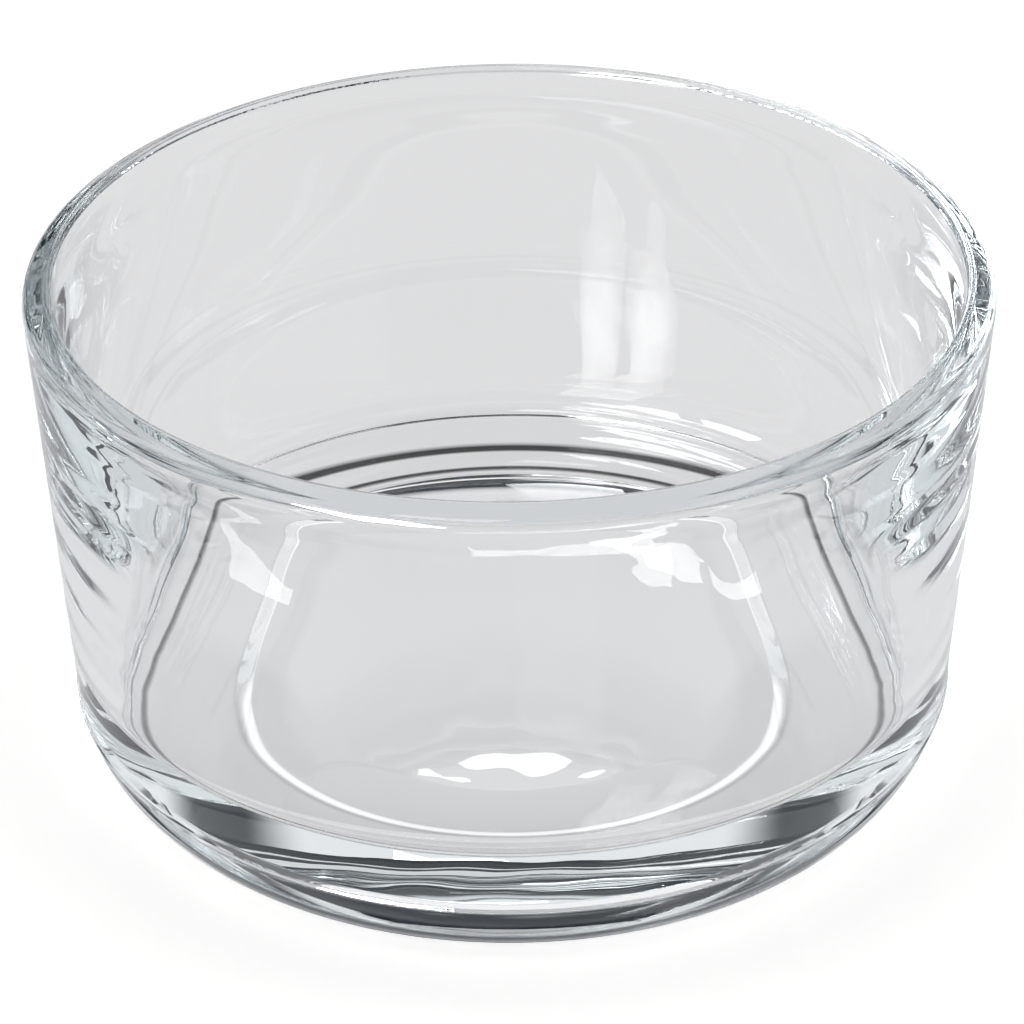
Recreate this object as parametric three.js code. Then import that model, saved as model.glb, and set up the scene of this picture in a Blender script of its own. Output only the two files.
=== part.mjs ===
// A straight-sided bowl of clear pressed glass, in millimetres.
// It stands on z = 0 with its axis on +Z. The bowl is one piece of glass with no lid and no moving part,
// so the model is one turned solid: its profile starts on the axis at the underside, runs round the heel,
// up the outer wall, over the rim and down the inner wall, and ends on the axis at the dished floor.
import * as THREE from "three";

// Outside
const HEIGHT = 66.3; // at the inner edge of the rim, which is its highest line
const RIM_DIAMETER = 120; // across the outer wall, carried up to the top of the rim
const BASE_DIAMETER = 112.3; // across the outer wall, carried down to the table

// Heel, from the bearing ring to the mould seam
const HEEL_HEIGHT = 8.2; // from the table to the seam
const HEEL_INSET = 5.9; // how far the edge of the bearing ring stands in from the wall at the seam
const HEEL_FOOT_SLOPE = 13; // degrees from the table at the bearing ring
const HEEL_FOOT_PULL = 0.46; // share of the inset over which that slope holds
const HEEL_TOP_TURN = 18; // degrees that the heel turns in from the wall, just under the seam
const HEEL_TOP_PULL = 0.6; // share of the heel's height over which that turn holds
const SEAM_WIDTH = 0.82;
const SEAM_PROUD = 0.22;

// Rim: its top falls outwards, and both edges are fire-polished round
const RIM_WALL = 4.13; // glass at the rim
const RIM_FALL = 1.3;
const RIM_OUTER_EDGE = 1.05;
const RIM_INNER_EDGE = 1.57;

// Wall: the plunger tapers more than the mould, so the glass is thickest above the floor and thins upwards
const LOW_WALL = 6.1; // where the floor's curve ends
const MIDDLE_WALL = 6.05;
const MIDDLE_WALL_HEIGHT = 40;
const UPPER_WALL = 4.8;
const UPPER_WALL_HEIGHT = 50;
const THIN_WALL = 4.2;
const THIN_WALL_HEIGHT = 58;

// Floor and underside
const FLOOR_THICKNESS = 8.9; // from the table to the middle of the dished floor
const FLOOR_FLAT_DIAMETER = 57.6; // the level middle of the floor
const DISH_TOP = 15.4; // height at which the floor's curve runs into the wall
const DISH_WALL_PULL = 0.28; // share of the dish's height over which it follows the wall
const DISH_FLOOR_PULL = 0.3; // share of the dish's width over which it follows the floor
const BEARING_RING_BORE = 76.2; // inner diameter of the flat ring that the bowl stands on
const RECESS_STEP = 0.83; // rise from the bearing ring to the recessed underside
const RECESS_EDGE = 1; // width of that rise, measured across the ring
const PUSH_UP = 1.24; // height of the domed underside at its middle

// Straight steps that stand in for each curve
const DOME_STEPS = 6;
const HEEL_STEPS = 8;
const RIM_EDGE_STEPS = 6;
const WALL_STEPS = 14;
const DISH_STEPS = 14;
const TURN_SEGMENTS = 72;

const GLASS_COLOUR = 0xe3ecec;

// Radius of the outer wall at a height
function outerRadius(height) {
  return (BASE_DIAMETER + (RIM_DIAMETER - BASE_DIAMETER) * (height / HEIGHT)) / 2;
}

// A point of the inner wall, where the glass has that thickness
function innerPoint(height, glass) {
  return new THREE.Vector2(outerRadius(height) - glass, height);
}

// Points of an arc that rounds a corner and touches both straight runs.
function roundedCorner(before, corner, after, radius) {
  const back = before.clone().sub(corner).normalize();
  const ahead = after.clone().sub(corner).normalize();
  const halfAngle = Math.acos(back.dot(ahead)) / 2;
  const inward = back.clone().add(ahead).normalize();
  const centre = corner.clone().addScaledVector(inward, radius / Math.sin(halfAngle));
  const tangentLength = radius / Math.tan(halfAngle);
  const start = corner.clone().addScaledVector(back, tangentLength);
  const end = corner.clone().addScaledVector(ahead, tangentLength);
  const startAngle = start.clone().sub(centre).angle();
  const endAngle = end.clone().sub(centre).angle();
  const turnsClockwise = ahead.cross(back) < 0;
  const arc = new THREE.ArcCurve(centre.x, centre.y, radius, startAngle, endAngle, turnsClockwise);
  return arc.getPoints(RIM_EDGE_STEPS);
}

// The domed underside, an arc centred on the axis below the table
function undersidePoints(domeRadius) {
  const domeRise = PUSH_UP - RECESS_STEP;
  const sphereRadius = (domeRadius ** 2 + domeRise ** 2) / (2 * domeRise);
  const edgeAngle = Math.acos(domeRadius / sphereRadius);
  const dome = new THREE.ArcCurve(0, PUSH_UP - sphereRadius, sphereRadius, Math.PI / 2, edgeAngle, true);
  const points = dome.getPoints(DOME_STEPS);
  points[0].x = 0;
  return points;
}

// The heel and the mould seam above it
function heelPoints() {
  const lean = Math.atan2((RIM_DIAMETER - BASE_DIAMETER) / 2, HEIGHT);
  const footSlope = THREE.MathUtils.degToRad(HEEL_FOOT_SLOPE);
  const topTurn = THREE.MathUtils.degToRad(HEEL_TOP_TURN) - lean;
  const wallUp = new THREE.Vector2(Math.sin(lean), Math.cos(lean));
  const wallOut = new THREE.Vector2(Math.cos(lean), -Math.sin(lean));
  const top = new THREE.Vector2(outerRadius(HEEL_HEIGHT), HEEL_HEIGHT);
  const foot = new THREE.Vector2(top.x - HEEL_INSET, 0);
  const footWay = new THREE.Vector2(Math.cos(footSlope), Math.sin(footSlope));
  const topWay = new THREE.Vector2(Math.sin(topTurn), Math.cos(topTurn));
  const footHandle = foot.clone().addScaledVector(footWay, HEEL_INSET * HEEL_FOOT_PULL);
  const topHandle = top.clone().addScaledVector(topWay, -HEEL_HEIGHT * HEEL_TOP_PULL);
  const heel = new THREE.CubicBezierCurve(foot, footHandle, topHandle, top);
  const crest = top.clone().addScaledVector(wallUp, SEAM_WIDTH / 2).addScaledVector(wallOut, SEAM_PROUD);
  const seamEnd = top.clone().addScaledVector(wallUp, SEAM_WIDTH);
  return [...heel.getPoints(HEEL_STEPS), crest, seamEnd];
}

// The inner wall, from the rim down to the floor's curve
function innerWallPoints() {
  const underRim = HEIGHT - 1.5 * RIM_INNER_EDGE;
  const wall = new THREE.SplineCurve([
    innerPoint(underRim, RIM_WALL),
    innerPoint(THIN_WALL_HEIGHT, THIN_WALL),
    innerPoint(UPPER_WALL_HEIGHT, UPPER_WALL),
    innerPoint(MIDDLE_WALL_HEIGHT, MIDDLE_WALL),
    innerPoint(DISH_TOP, LOW_WALL),
  ]);
  return wall.getPoints(WALL_STEPS);
}

// The dished floor, from the end of the inner wall to the axis
function floorPoints(wall) {
  const top = wall[wall.length - 1];
  const wallWay = top.clone().sub(wall[wall.length - 2]).normalize();
  const flatEdge = new THREE.Vector2(FLOOR_FLAT_DIAMETER / 2, FLOOR_THICKNESS);
  const topHandle = top.clone().addScaledVector(wallWay, (DISH_TOP - FLOOR_THICKNESS) * DISH_WALL_PULL);
  const flatHandle = new THREE.Vector2(flatEdge.x + (top.x - flatEdge.x) * DISH_FLOOR_PULL, FLOOR_THICKNESS);
  const dish = new THREE.CubicBezierCurve(top, topHandle, flatHandle, flatEdge);
  return [...dish.getPoints(DISH_STEPS).slice(1), new THREE.Vector2(0, FLOOR_THICKNESS)];
}

// Half of the bowl's section: x is the radius and y is the height.
function bowlProfile() {
  const ringRadius = BEARING_RING_BORE / 2;
  const heel = heelPoints();
  const wall = innerWallPoints();
  const rimOuter = new THREE.Vector2(outerRadius(HEIGHT - RIM_FALL), HEIGHT - RIM_FALL);
  const rimInner = new THREE.Vector2(RIM_DIAMETER / 2 - RIM_WALL, HEIGHT);
  return [
    ...undersidePoints(ringRadius - RECESS_EDGE),
    new THREE.Vector2(ringRadius, 0),
    ...heel,
    ...roundedCorner(heel[heel.length - 1], rimOuter, rimInner, RIM_OUTER_EDGE),
    ...roundedCorner(rimOuter, rimInner, wall[0], RIM_INNER_EDGE),
    ...wall,
    ...floorPoints(wall),
  ];
}

const glass = new THREE.MeshStandardMaterial({
  color: GLASS_COLOUR,
  roughness: 0.03,
  metalness: 0,
  transparent: true,
  opacity: 0.35,
});

// LatheGeometry turns the profile about Y, so the mesh is tipped up to bring that axis to +Z.
const glassBowl = new THREE.Mesh(new THREE.LatheGeometry(bowlProfile(), TURN_SEGMENTS), glass);
glassBowl.name = "glass_bowl";
glassBowl.rotation.x = Math.PI / 2;

const bowl = new THREE.Group();
bowl.add(glassBowl);

export default bowl;
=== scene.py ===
"""Clear glass serving bowl on a pale floor: the dressed model over its CAD frame."""

import math

import bpy
import numpy as np
from mathutils import Matrix, Vector


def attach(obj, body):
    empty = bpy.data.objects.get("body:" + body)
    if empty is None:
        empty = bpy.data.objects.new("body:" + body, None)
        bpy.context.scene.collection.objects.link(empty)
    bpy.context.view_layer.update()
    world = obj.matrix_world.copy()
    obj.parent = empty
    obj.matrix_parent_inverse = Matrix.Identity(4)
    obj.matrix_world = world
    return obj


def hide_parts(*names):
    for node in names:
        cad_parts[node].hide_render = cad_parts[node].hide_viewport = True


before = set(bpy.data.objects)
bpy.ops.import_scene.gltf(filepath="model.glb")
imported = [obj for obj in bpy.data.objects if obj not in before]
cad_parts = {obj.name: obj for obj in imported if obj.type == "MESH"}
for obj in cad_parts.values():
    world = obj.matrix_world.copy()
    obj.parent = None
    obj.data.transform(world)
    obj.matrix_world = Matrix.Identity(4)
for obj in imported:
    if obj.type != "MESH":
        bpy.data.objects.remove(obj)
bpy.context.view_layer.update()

# Glass bowl
# One piece of clear soda-lime glass, pressed in one stroke between a mould and a plunger, then fire-polished.
# The plunger leaves a dished floor and a wall that thins upwards, the mould a seam above the heel, and the
# bowl stands on a flat ring round a shallow push-up. Sizes are in millimetres.
MM = 0.001
RIM_RADIUS = 59.97
FOOT_RADIUS = 56.13
RIM_HEIGHT = 66.15
RIM_FALL = 1.70
RIM_OUTER_EDGE = 1.80
RIM_INNER_EDGE = 0.77
RIM_GLASS = 3.75
LOW_WALL_GLASS = 6.03
MIDDLE_WALL_GLASS = 5.95
MIDDLE_WALL_HEIGHT = 40.0
UPPER_WALL_GLASS = 5.25
UPPER_WALL_HEIGHT = 50.0
THIN_WALL_GLASS = 4.25
THIN_WALL_HEIGHT = 58.0
NECK_GLASS = 3.70
NECK_HEIGHT = 62.0
FLOOR_GLASS = 8.94
FLOOR_FLAT_RADIUS = 28.88
DISH_TOP = 15.4
DISH_WALL_PULL = 0.278
DISH_FLOOR_PULL = 0.3
RING_BORE_RADIUS = 38.08
RECESS_STEP = 0.83
RECESS_SLOPE = 2.4
RECESS_EDGE = 0.3
PUSH_UP = 1.24
HEEL_INSET = 5.91
HEEL_TOP = 8.2
HEEL_FOOT_SLOPE = math.radians(13.1)
HEEL_FOOT_PULL = 0.46
HEEL_TOP_TURN = math.radians(18.1)
HEEL_TOP_PULL = 0.6
SEAM_PROUD = 0.22
SEAM_WIDTH = 0.82
SEAM_FIRST_SHARE = 0.1  # share of the seam's width at its first point
INNER_WALL_START = 1.2  # how many radii of the rim's inner edge lie above the inner wall

# Straight steps that stand in for each curve
DOME_POINTS = 26
RECESS_EDGE_STEPS = 6
HEEL_STEPS = 40
SEAM_POINTS = 12
RIM_EDGE_STEPS = 16
INNER_WALL_POINTS = 90
DISH_STEPS = 60
TURN_STEPS = 250
PROFILE_STEP = 1.1


def rounded(before, corner, after, radius, steps):
    """Points of an arc of that radius that takes the place of a profile's corner."""
    before, corner, after = np.array(before), np.array(corner), np.array(after)
    back = (before - corner) / np.linalg.norm(before - corner)
    on = (after - corner) / np.linalg.norm(after - corner)
    half = math.acos(np.clip(back @ on, -1, 1)) / 2
    centre = corner + (back + on) / np.linalg.norm(back + on) * radius / math.sin(half)
    first = corner + back * radius / math.tan(half) - centre
    last = corner + on * radius / math.tan(half) - centre
    start = math.atan2(first[1], first[0])
    sweep = (math.atan2(last[1], last[0]) - start + math.pi) % (2 * math.pi) - math.pi
    turns = [start + sweep * k / steps for k in range(steps + 1)]
    return [tuple(centre + radius * np.array((math.cos(a), math.sin(a)))) for a in turns]


def bent(start, start_handle, end_handle, end, steps):
    """Points of a smooth curve from start to end that leaves and arrives along its handles."""
    corners = np.array((start, start_handle, end_handle, end), float)
    points = []
    for t in np.linspace(0, 1, steps + 1):
        s = 1 - t
        shares = np.array((s**3, 3 * s * s * t, 3 * s * t * t, t**3))
        points.append(tuple(shares @ corners))
    return points


def outer_radius(z):
    """Radius of the outer wall at a height."""
    return FOOT_RADIUS + (RIM_RADIUS - FOOT_RADIUS) * z / RIM_HEIGHT


# The inner wall: full in its lower half, thinner towards the rim
glass_heights = np.array(
    (DISH_TOP, MIDDLE_WALL_HEIGHT, UPPER_WALL_HEIGHT, THIN_WALL_HEIGHT, NECK_HEIGHT, RIM_HEIGHT)
)
glass_widths = np.array(
    (LOW_WALL_GLASS, MIDDLE_WALL_GLASS, UPPER_WALL_GLASS, THIN_WALL_GLASS, NECK_GLASS, RIM_GLASS)
)


def wall_glass(z):
    """Thickness of the wall at a height, smooth between the heights at which it is given."""
    gap = np.diff(glass_heights)
    slope = np.diff(glass_widths) / gap
    lean = np.empty(len(glass_heights))
    lean[1:-1] = (slope[:-1] * gap[1:] + slope[1:] * gap[:-1]) / (gap[:-1] + gap[1:])
    lean[0] = (3 * slope[0] - lean[1]) / 2
    lean[-1] = (3 * slope[-1] - lean[-2]) / 2
    i = np.clip(np.searchsorted(glass_heights, z) - 1, 0, len(gap) - 1)
    t = (z - glass_heights[i]) / gap[i]
    here = (2 * t**3 - 3 * t**2 + 1) * glass_widths[i] + (t**3 - 2 * t**2 + t) * gap[i] * lean[i]
    return here + (3 * t**2 - 2 * t**3) * glass_widths[i + 1] + (t**3 - t**2) * gap[i] * lean[i + 1]


# Half of the section, from the middle of the domed underside over the rim to the middle of the floor
recess_radius = RING_BORE_RADIUS - RECESS_SLOPE
dome_rise = PUSH_UP - RECESS_STEP
dome_radius = (recess_radius**2 + dome_rise**2) / (2 * dome_rise)
dome_turns = np.linspace(0, math.asin(recess_radius / dome_radius), DOME_POINTS)
underside = [(dome_radius * math.sin(a), PUSH_UP - dome_radius * (1 - math.cos(a))) for a in dome_turns]
recess_top = (recess_radius, RECESS_STEP)
ring_edge = (RING_BORE_RADIUS, 0)

heel_out = outer_radius(HEEL_TOP)
wall_lean = math.atan2(RIM_RADIUS - FOOT_RADIUS, RIM_HEIGHT)
wall_up = np.array((math.sin(wall_lean), math.cos(wall_lean)))
wall_out = np.array((math.cos(wall_lean), -math.sin(wall_lean)))
heel_foot = np.array((heel_out - HEEL_INSET, 0.0))
heel_top = np.array((heel_out, HEEL_TOP))
heel_start = np.array((math.cos(HEEL_FOOT_SLOPE), math.sin(HEEL_FOOT_SLOPE)))
heel_end = np.array((math.sin(HEEL_TOP_TURN - wall_lean), math.cos(HEEL_TOP_TURN - wall_lean)))

profile = underside[:-1]
profile += rounded(underside[-2], recess_top, ring_edge, RECESS_EDGE, RECESS_EDGE_STEPS)
profile += rounded(recess_top, ring_edge, heel_foot, RECESS_EDGE, RECESS_EDGE_STEPS)
profile += bent(
    heel_foot,
    heel_foot + heel_start * HEEL_INSET * HEEL_FOOT_PULL,
    heel_top - heel_end * HEEL_TOP * HEEL_TOP_PULL,
    heel_top,
    HEEL_STEPS,
)
for share in np.linspace(SEAM_FIRST_SHARE, 1, SEAM_POINTS):
    swell = SEAM_PROUD * math.sin(math.pi * share) ** 2
    profile.append(tuple(heel_top + wall_up * SEAM_WIDTH * share + wall_out * swell))

rim_out = (outer_radius(RIM_HEIGHT - RIM_FALL), RIM_HEIGHT - RIM_FALL)
rim_in = (RIM_RADIUS - RIM_GLASS, RIM_HEIGHT)
inner_heights = np.linspace(RIM_HEIGHT - INNER_WALL_START * RIM_INNER_EDGE, DISH_TOP, INNER_WALL_POINTS)
inner_radii = outer_radius(inner_heights) - wall_glass(inner_heights)
profile += rounded(profile[-1], rim_out, rim_in, RIM_OUTER_EDGE, RIM_EDGE_STEPS)
profile += rounded(rim_out, rim_in, (inner_radii[0], inner_heights[0]), RIM_INNER_EDGE, RIM_EDGE_STEPS)
profile += list(zip(inner_radii, inner_heights))
wall_down = np.array((inner_radii[-1] - inner_radii[-2], inner_heights[-1] - inner_heights[-2]))
wall_down = wall_down / np.linalg.norm(wall_down)
dish_edge = np.array((inner_radii[-1], DISH_TOP))
floor_edge = np.array((FLOOR_FLAT_RADIUS, FLOOR_GLASS))
profile += bent(
    dish_edge,
    dish_edge + wall_down * (DISH_TOP - FLOOR_GLASS) * DISH_WALL_PULL,
    floor_edge + np.array(((dish_edge[0] - FLOOR_FLAT_RADIUS) * DISH_FLOOR_PULL, 0)),
    floor_edge,
    DISH_STEPS,
)
profile.append((0.0, FLOOR_GLASS))

# Long straight runs get points in between, so that the pressing waves have something to bend
fine = [profile[0]]
for here, there in zip(profile[:-1], profile[1:]):
    count = max(1, math.ceil(math.dist(here, there) / PROFILE_STEP))
    fine += list(np.linspace(here, there, count + 1)[1:])
fine = np.array(fine)
turned = fine[1:-1]
radii, heights = turned.T
along = np.concatenate(((0,), np.cumsum(np.hypot(*np.diff(turned, axis=0).T))))
tangent = np.gradient(turned, axis=0)
outward = np.stack((tangent[:, 1], -tangent[:, 0]), axis=1)
outward = outward / np.linalg.norm(outward, axis=1)[:, None]
turn = np.arange(TURN_STEPS) * 2 * math.pi / TURN_STEPS

# Pressing waves: shallow ripples that lie round the bowl where the glass chilled against the mould. They are
# deepest on the outer wall beside the two joints of the mould, at the left and the right, and the upper wall,
# which the fire polish reached, has none.
WAVE_DEPTH = 0.0012
JOINT_WAVE_DEPTH = 0.022
WAVE_COUNT = 7
SHORTEST_WAVE = 2.6
WAVE_GROWTH = 1.22  # length of each wave against the one before
FULL_WAVE = 6.0  # a wave of this length has the full depth
WAVE_SHIFT = 2.399  # radians that set the waves apart
BEAT_MEAN = 0.6
BEAT_SWING = 0.4
MOST_BEATS = 4  # swells of one wave on its way round the bowl
BEAT_SHIFT = 1.7  # radians that set the swells of the waves apart
BEAT_CLIMB = 23.0  # length along the section over which the swells move on by a radian
HEEL_FADE = 4.0
CALM_UNDER_RIM = 24.0
RIM_FADE = 10.0
CALM_FLOOR_RADIUS = 30.0
JOINT_EDGE = 0.8  # cosine of the angle from a joint at which its waves start
JOINT_FULL = 0.98  # and at which they are deepest
waves = np.zeros((len(turned), TURN_STEPS))
for k in range(WAVE_COUNT):
    length = SHORTEST_WAVE * WAVE_GROWTH**k
    beat_turn = (k % MOST_BEATS + 1) * turn[None, :] + BEAT_SHIFT * k + along[:, None] / BEAT_CLIMB
    ripple = np.sin(2 * math.pi * along[:, None] / length + WAVE_SHIFT * k * k)
    waves += length / FULL_WAVE * (BEAT_MEAN + BEAT_SWING * np.sin(beat_turn)) * ripple
on_outside = np.arange(len(turned)) < np.argmax(heights)
above_heel = np.clip((heights - HEEL_TOP - 2 * SEAM_WIDTH) / HEEL_FADE, 0, 1)
below_rim = np.clip((RIM_HEIGHT - CALM_UNDER_RIM - heights) / RIM_FADE, 0, 1)
outer_depth = np.where(on_outside, above_heel * below_rim, 0.0)
inner_depth = np.where(on_outside, 0.0, below_rim * np.clip(radii / CALM_FLOOR_RADIUS, 0, 1) ** 2)
beside_joint = np.clip((np.abs(np.cos(turn)) - JOINT_EDGE) / (JOINT_FULL - JOINT_EDGE), 0, 1)
depth = WAVE_DEPTH * (outer_depth + inner_depth)[:, None]
depth = depth + JOINT_WAVE_DEPTH * outer_depth[:, None] * beside_joint[None, :]
waves = waves * depth

# The floor set last, and its middle is left a little uneven in all directions
FLOOR_WAVE_DEPTH = 0.007
FLOOR_WAVE = 13.0
FLOOR_WAVE_RADIUS = 34.0
FLOOR_WAVE_FADE = 6.0
ACROSS = (1.0, 0.3)
ACROSS_SHIFT = 0.6
ALONG = (-0.35, 0.8)
FINE = (1.7, -0.9)
FINE_SHIFT = 2.0
FINE_SHARE = 0.5
east = radii[:, None] * np.cos(turn)[None, :]
north = radii[:, None] * np.sin(turn)[None, :]


def floor_wave(way, shift):
    """A wave over the floor; the longer its way, the closer its crests."""
    return np.sin(2 * math.pi * (way[0] * east + way[1] * north) / FLOOR_WAVE + shift)


uneven = floor_wave(ACROSS, ACROSS_SHIFT) * floor_wave(ALONG, 0) + FINE_SHARE * floor_wave(FINE, FINE_SHIFT)
on_floor = np.where(on_outside, 0.0, np.clip((FLOOR_WAVE_RADIUS - radii) / FLOOR_WAVE_FADE, 0, 1))
waves = waves + FLOOR_WAVE_DEPTH * uneven * on_floor[:, None]

# The section with its waves, turned about the axis and closed in the middle of the underside and of the floor
radius = radii[:, None] + outward[:, 0][:, None] * waves
height = heights[:, None] + outward[:, 1][:, None] * waves
shell = np.stack((radius * np.cos(turn), radius * np.sin(turn), height), axis=-1).reshape(-1, 3)
points = np.vstack((shell, ((0, 0, fine[0, 1]), (0, 0, fine[-1, 1])))) * MM
rows = len(turned)
under_middle, floor_middle = rows * TURN_STEPS, rows * TURN_STEPS + 1
faces = []
for j in range(TURN_STEPS):
    k = (j + 1) % TURN_STEPS
    for i in range(rows - 1):
        low, high = i * TURN_STEPS, (i + 1) * TURN_STEPS
        faces.append((low + j, low + k, high + k, high + j))
    faces.append((under_middle, k, j))
    faces.append((floor_middle, (rows - 1) * TURN_STEPS + j, (rows - 1) * TURN_STEPS + k))
bowl_mesh = bpy.data.meshes.new("pressed_glass_bowl")
bowl_mesh.from_pydata(points.tolist(), [], faces)
bowl_mesh.validate()
bowl_mesh.shade_smooth()
bowl = bpy.data.objects.new("pressed_glass_bowl", bowl_mesh)
bpy.context.scene.collection.objects.link(bowl)


def linear(code):
    """A colour written as sRGB hex, as the linear colour that shaders take."""
    parts = [int(code[k : k + 2], 16) / 255 for k in (1, 3, 5)]
    return tuple(c / 12.92 if c <= 0.04045 else ((c + 0.055) / 1.055) ** 2.4 for c in parts) + (1.0,)


def add_node(tree, kind, settings=None, links=None):
    """Adds a node with its settings, and links its inputs from the sockets given."""
    node = tree.nodes.new(kind)
    for name, value in (settings or {}).items():
        if name in node.inputs:
            node.inputs[name].default_value = value
        else:
            setattr(node, name, value)
    for name, socket in (links or {}).items():
        tree.links.new(socket, node.inputs[name])
    return node


# Soda-lime glass, pressed and fire-polished: clear, with a cool tint that shows where the light runs far
# inside it, and a skin with faint orange peel from the mould
CLEAR = "#ffffff"
GLASS_TINT = "#e6eef1"
GLASS_TINT_DENSITY = 6.0
GLASS_IOR = 1.52
PEEL_SIZE = 1.8
PEEL_HEIGHT = 0.02
PEEL_STRENGTH = 0.02
glass = bpy.data.materials.new("pressed_soda_lime_glass")
glass.use_nodes = True
tree = glass.node_tree
glass_skin = tree.nodes["Principled BSDF"]
glass_skin.inputs["Base Color"].default_value = linear(CLEAR)
glass_skin.inputs["Roughness"].default_value = 0.0
glass_skin.inputs["IOR"].default_value = GLASS_IOR
glass_skin.inputs["Transmission Weight"].default_value = 1.0
place = add_node(tree, "ShaderNodeTexCoord")
peel = add_node(
    tree,
    "ShaderNodeTexNoise",
    {"Scale": 1 / (PEEL_SIZE * MM), "Detail": 1.0},
    {"Vector": place.outputs["Object"]},
)
peel_bump = add_node(
    tree,
    "ShaderNodeBump",
    {"Strength": PEEL_STRENGTH, "Distance": PEEL_HEIGHT * MM},
    {"Height": peel.outputs["Fac"]},
)
tree.links.new(peel_bump.outputs["Normal"], glass_skin.inputs["Normal"])
depth_tint = add_node(
    tree,
    "ShaderNodeVolumeAbsorption",
    {"Color": linear(GLASS_TINT), "Density": GLASS_TINT_DENSITY},
)
tree.links.new(depth_tint.outputs["Volume"], tree.nodes["Material Output"].inputs["Volume"])
bowl_mesh.materials.append(glass)
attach(bowl, "root")
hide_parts("glass_bowl")

# Pale floor
# A matt white sheet of paper that lies a hair below the bowl. The camera sees it white, with a soft shadow.
# Every ray but the camera's, such as those from the glass, sees a painted floor instead: a glow greyer than
# white and darker under the bowl as painted shade, a painted highlight for the bright line under the step of
# the recess, and thin painted shadow lines under the recess, the foot and the heel. Radii are in millimetres,
# and a shade of 1 is white.
FLOOR_REACH = 2.0  # metres
FLOOR_SIDES = 96
FLOOR_GAP = 0.05
FLOOR_MATT = "#f4f2f0"
FLOOR_SEEN = 0.565
# Painted shade: the glow that the glass shows under the bowl and around it, greyer than white
UNDER_BOWL = 0.7
AROUND_BOWL = 0.75
# Painted shadow of the thin dark lines under the foot and the heel, painted highlight of the bright line
# under the step of the recess, and painted shade beside that line
CONTACT_SHADE = 0.04
RECESS_GLINT = 1.25
RECESS_SHADE = 0.5
COOL_SHADE = 1.01  # blue against red and green
# Radii at which the painted highlight and the painted shadow lines start, are full, end and are gone
GLINT_START = 36.0
GLINT_FULL = 36.4
GLINT_END = 37.3
RECESS_LINE_FULL = 37.6
RECESS_LINE_END = 38.0
RECESS_LINE_GONE = 38.4
FOOT_LINE_START = 51.0
FOOT_LINE_FULL = 51.3
FOOT_LINE_END = 52.0
FOOT_LINE_GONE = 52.3
HEEL_LINE_START = 55.5
HEEL_LINE_FULL = 55.8
HEEL_LINE_END = 56.8
HEEL_LINE_GONE = 57.2
SHADES_END = 100.0
# The painted shade, shadow lines and highlight, by distance from the middle
shades = (
    (0.0, UNDER_BOWL),
    (GLINT_START, UNDER_BOWL),
    (GLINT_FULL, RECESS_GLINT),
    (GLINT_END, RECESS_GLINT),
    (RECESS_LINE_FULL, RECESS_SHADE),
    (RECESS_LINE_END, RECESS_SHADE),
    (RECESS_LINE_GONE, UNDER_BOWL),
    (FOOT_LINE_START, UNDER_BOWL),
    (FOOT_LINE_FULL, CONTACT_SHADE),
    (FOOT_LINE_END, CONTACT_SHADE),
    (FOOT_LINE_GONE, UNDER_BOWL),
    (HEEL_LINE_START, UNDER_BOWL),
    (HEEL_LINE_FULL, CONTACT_SHADE),
    (HEEL_LINE_END, CONTACT_SHADE),
    (HEEL_LINE_GONE, AROUND_BOWL),
    (SHADES_END, AROUND_BOWL),
)
floor_mesh = bpy.data.meshes.new("pale_floor")
floor_turns = [2 * math.pi * k / FLOOR_SIDES for k in range(FLOOR_SIDES)]
floor_points = [(FLOOR_REACH * math.cos(a), FLOOR_REACH * math.sin(a), -FLOOR_GAP * MM) for a in floor_turns]
floor_mesh.from_pydata(floor_points, [], [tuple(range(FLOOR_SIDES))])
floor = bpy.data.objects.new("pale_floor", floor_mesh)
bpy.context.scene.collection.objects.link(floor)

# Matt white paper: no gloss at all
paper = bpy.data.materials.new("matt_white_paper")
paper.use_nodes = True
tree = paper.node_tree
paper_skin = tree.nodes["Principled BSDF"]
paper_skin.inputs["Base Color"].default_value = linear(FLOOR_MATT)
paper_skin.inputs["Roughness"].default_value = 1.0
paper_skin.inputs["Specular IOR Level"].default_value = 0.0
paper_skin.inputs["Emission Color"].default_value = linear(CLEAR)
paper_skin.inputs["Emission Strength"].default_value = FLOOR_SEEN
spot = add_node(tree, "ShaderNodeNewGeometry")
from_middle = add_node(
    tree,
    "ShaderNodeVectorMath",
    {"operation": "LENGTH"},
    {"Vector": spot.outputs["Position"]},
)
reach = add_node(
    tree,
    "ShaderNodeMapRange",
    {"From Max": SHADES_END * MM},
    {"Value": from_middle.outputs["Value"]},
)
# A ramp by distance from the middle paints the shade, the shadow lines and the highlight
painted_shade_ramp = add_node(tree, "ShaderNodeValToRGB", {}, {"Fac": reach.outputs["Result"]})
painted_shade_ramp.color_ramp.interpolation = "LINEAR"
while len(painted_shade_ramp.color_ramp.elements) < len(shades):
    painted_shade_ramp.color_ramp.elements.new(0.5)
for stop, (distance, shade) in zip(painted_shade_ramp.color_ramp.elements, shades):
    stop.position = distance / SHADES_END
    stop.color = (shade, shade, shade * COOL_SHADE, 1)
# Every ray but the camera's sees the painted shade, shadow lines and highlight as a glow
painted_floor_glow = add_node(tree, "ShaderNodeEmission", {}, {"Color": painted_shade_ramp.outputs["Color"]})
ray = add_node(tree, "ShaderNodeLightPath")
either = add_node(
    tree,
    "ShaderNodeMixShader",
    {},
    {
        "Fac": ray.outputs["Is Camera Ray"],
        1: painted_floor_glow.outputs["Emission"],
        2: paper_skin.outputs["BSDF"],
    },
)
tree.links.new(either.outputs["Shader"], tree.nodes["Material Output"].inputs["Surface"])
floor_mesh.materials.append(paper)

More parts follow.
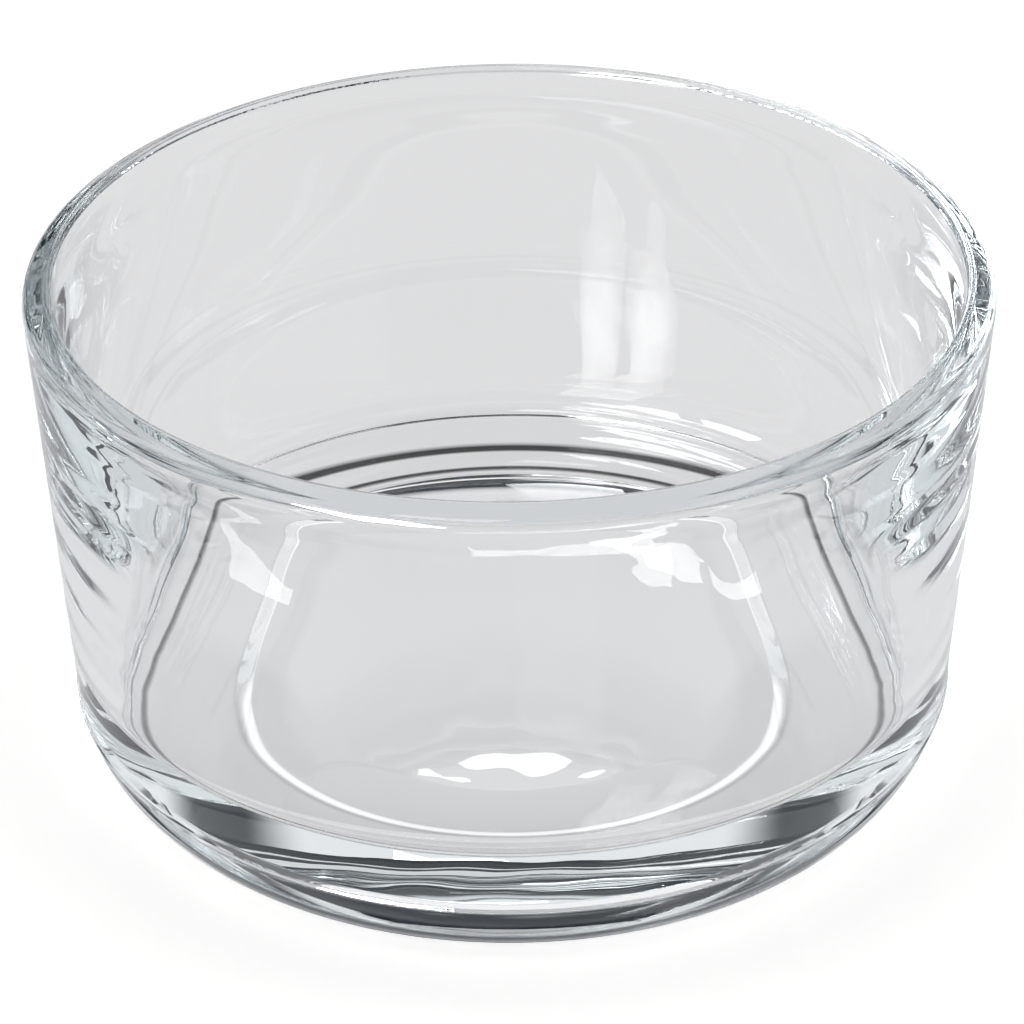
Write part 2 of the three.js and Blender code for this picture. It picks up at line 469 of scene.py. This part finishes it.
# Studio light
# Two tall window panes to the front left, a narrow strip high behind the bowl, a high window, and a soft lamp
# overhead that lights only the floor. The panes are far brighter than white because they reach the eye only
# by weak reflections in the glass. No lamp but the overhead one lights the floor.
AIM_HEIGHT = 0.03  # metres


def lamp(name, turn_deg, rise_deg, far, wide, tall, glow, upright=False, floor_only=False):
    """An area lamp aimed at the bowl, turned from straight behind it; metres, and a glow of 1 is white."""
    light = bpy.data.lights.new(name, "AREA")
    light.shape = "RECTANGLE"
    light.size = wide
    light.size_y = tall
    light.energy = glow * math.pi * wide * tall
    thing = bpy.data.objects.new(name, light)
    bpy.context.scene.collection.objects.link(thing)
    a, e = math.radians(turn_deg), math.radians(rise_deg)
    way = Vector((math.sin(a) * math.cos(e), math.cos(a) * math.cos(e), math.sin(e)))
    thing.location = Vector((0, 0, AIM_HEIGHT)) + way * far
    face = Vector((-way.x, -way.y, 0)) if upright else -way
    thing.rotation_euler = face.to_track_quat("-Z", "Z" if upright else "Y").to_euler()
    thing.visible_camera = False
    thing.visible_glossy = not floor_only
    thing.visible_transmission = not floor_only
    thing.visible_diffuse = floor_only


lamp("left_window_pane", turn_deg=203, rise_deg=14, far=1.6, wide=0.25, tall=0.8, glow=220.0, upright=True)
lamp("right_window_pane", turn_deg=216, rise_deg=14, far=1.6, wide=0.27, tall=0.8, glow=320.0, upright=True)
lamp("back_strip", turn_deg=4, rise_deg=35.9, far=1.5, wide=0.3, tall=0.025, glow=5.0)
lamp("high_window", turn_deg=200, rise_deg=62, far=1.2, wide=0.35, tall=0.3, glow=3.0)
lamp("overhead_softbox", turn_deg=0, rise_deg=80, far=1.2, wide=1.6, tall=1.6, glow=0.5, floor_only=True)

# Room
# What the glass shows beyond the floor: a dark room with a pale card to each side and a pale ceiling that
# starts behind the bowl and ends overhead. The camera itself sees a white backdrop. The values are shares
# of a direction: sideways for the start of the cards and the sides of the ceiling, upwards for the rest.
ROOM = "#18222b"
PALE_WALL = "#f8f8f8"
BACKDROP = "#ffffff"
CARD_START = 0.5
CARD_FULL = 0.6
CARD_FOOT = 0.26
CARD_CLEAR = 0.34
CEILING_START = 0.48
CEILING_FULL = 0.54
CEILING_END = 0.88
CEILING_GONE = 0.94
CEILING_EDGE = 0.29
CEILING_SIDE = 0.41
FRONT_LIFT = 0.6  # how much higher the ceiling starts in front of the bowl
FRONT_START = 0.1  # share of the direction towards the back at which that begins
FRONT_FULL = -0.1
MIX_FIRST = 6  # the colour sockets of a Mix node, which has a set of sockets for each kind of value
MIX_SECOND = 7
MIX_RESULT = 2
room = bpy.data.worlds.new("dark_room")
room.use_nodes = True
bpy.context.scene.world = room
tree = room.node_tree
way = add_node(tree, "ShaderNodeTexCoord")
parts = add_node(tree, "ShaderNodeSeparateXYZ", {}, {"Vector": way.outputs["Generated"]})
sideways = add_node(tree, "ShaderNodeMath", {"operation": "ABSOLUTE"}, {0: parts.outputs["X"]})
card_side = add_node(
    tree,
    "ShaderNodeMapRange",
    {"interpolation_type": "SMOOTHSTEP", "From Min": CARD_START, "From Max": CARD_FULL},
    {"Value": sideways.outputs[0]},
)
card_height = add_node(
    tree,
    "ShaderNodeMapRange",
    {"interpolation_type": "SMOOTHSTEP", "From Min": CARD_FOOT, "From Max": CARD_CLEAR},
    {"Value": parts.outputs["Z"]},
)
cards = add_node(
    tree,
    "ShaderNodeMath",
    {"operation": "MULTIPLY"},
    {0: card_side.outputs["Result"], 1: card_height.outputs["Result"]},
)
front_lift = add_node(
    tree,
    "ShaderNodeMapRange",
    {
        "interpolation_type": "SMOOTHSTEP",
        "From Min": FRONT_START,
        "From Max": FRONT_FULL,
        "To Max": FRONT_LIFT,
    },
    {"Value": parts.outputs["Y"]},
)
above_back = add_node(
    tree,
    "ShaderNodeMath",
    {"operation": "SUBTRACT"},
    {0: parts.outputs["Z"], 1: front_lift.outputs["Result"]},
)
ceiling_foot = add_node(
    tree,
    "ShaderNodeMapRange",
    {"interpolation_type": "SMOOTHSTEP", "From Min": CEILING_START, "From Max": CEILING_FULL},
    {"Value": above_back.outputs[0]},
)
ceiling_top = add_node(
    tree,
    "ShaderNodeMapRange",
    {
        "interpolation_type": "SMOOTHSTEP",
        "From Min": CEILING_END,
        "From Max": CEILING_GONE,
        "To Min": 1.0,
        "To Max": 0.0,
    },
    {"Value": parts.outputs["Z"]},
)
ceiling_side = add_node(
    tree,
    "ShaderNodeMapRange",
    {
        "interpolation_type": "SMOOTHSTEP",
        "From Min": CEILING_EDGE,
        "From Max": CEILING_SIDE,
        "To Min": 1.0,
        "To Max": 0.0,
    },
    {"Value": sideways.outputs[0]},
)
ceiling_height = add_node(
    tree,
    "ShaderNodeMath",
    {"operation": "MULTIPLY"},
    {0: ceiling_foot.outputs["Result"], 1: ceiling_top.outputs["Result"]},
)
ceiling = add_node(
    tree,
    "ShaderNodeMath",
    {"operation": "MULTIPLY"},
    {0: ceiling_height.outputs[0], 1: ceiling_side.outputs["Result"]},
)
pale = add_node(
    tree,
    "ShaderNodeMath",
    {"operation": "MAXIMUM"},
    {0: cards.outputs[0], 1: ceiling.outputs[0]},
)
walls = add_node(tree, "ShaderNodeMix", {"data_type": "RGBA"}, {0: pale.outputs[0]})
walls.inputs[MIX_FIRST].default_value = linear(ROOM)
walls.inputs[MIX_SECOND].default_value = linear(PALE_WALL)
ray = add_node(tree, "ShaderNodeLightPath")
backdrop = add_node(
    tree,
    "ShaderNodeMix",
    {"data_type": "RGBA"},
    {0: ray.outputs["Is Camera Ray"], MIX_FIRST: walls.outputs[MIX_RESULT]},
)
backdrop.inputs[MIX_SECOND].default_value = linear(BACKDROP)
tree.links.new(backdrop.outputs[MIX_RESULT], tree.nodes["Background"].inputs["Color"])
tree.nodes["Background"].inputs["Strength"].default_value = 1.0

# Camera
# A short telephoto look down into the bowl, fitted to the rim, the foot and the sides in the photograph.
# A small roll and shift put the rim where the photograph has it. Lengths are in millimetres.
CAMERA_ELEVATION = math.radians(31.66)
CAMERA_DISTANCE = 480.0
CAMERA_AIM_HEIGHT = 29.32
CAMERA_ROLL = math.radians(-0.5)
FOCAL_PIXELS = 3745.0
IMAGE_PIXELS = 1024
MIDDLE_PIXEL = 511.0
SENSOR_WIDTH = 36.0
NEAREST_SEEN = 10.0
camera_data = bpy.data.cameras.new("photo_camera")
camera_data.sensor_width = SENSOR_WIDTH
camera_data.lens = FOCAL_PIXELS / IMAGE_PIXELS * SENSOR_WIDTH
camera_data.shift_x = (IMAGE_PIXELS / 2 - MIDDLE_PIXEL) / IMAGE_PIXELS
camera_data.clip_start = NEAREST_SEEN * MM
camera = bpy.data.objects.new("photo_camera", camera_data)
bpy.context.scene.collection.objects.link(camera)
forward = Vector((0, math.cos(CAMERA_ELEVATION), -math.sin(CAMERA_ELEVATION)))
turned_camera = forward.to_track_quat("-Z", "Y").to_matrix().to_4x4() @ Matrix.Rotation(CAMERA_ROLL, 4, "Z")
aim = Vector((0, 0, CAMERA_AIM_HEIGHT))
camera.matrix_world = Matrix.Translation((aim - forward * CAMERA_DISTANCE) * MM) @ turned_camera
bpy.context.scene.camera = camera

# Light has to pass many walls of glass before it is dropped
LIGHT_BOUNCES = 24
scene = bpy.context.scene
scene.view_settings.view_transform = "Standard"
scene.cycles.max_bounces = LIGHT_BOUNCES
scene.cycles.transmission_bounces = LIGHT_BOUNCES
scene.cycles.glossy_bounces = LIGHT_BOUNCES
scene.cycles.blur_glossy = 0.0
scene.cycles.use_denoising = True
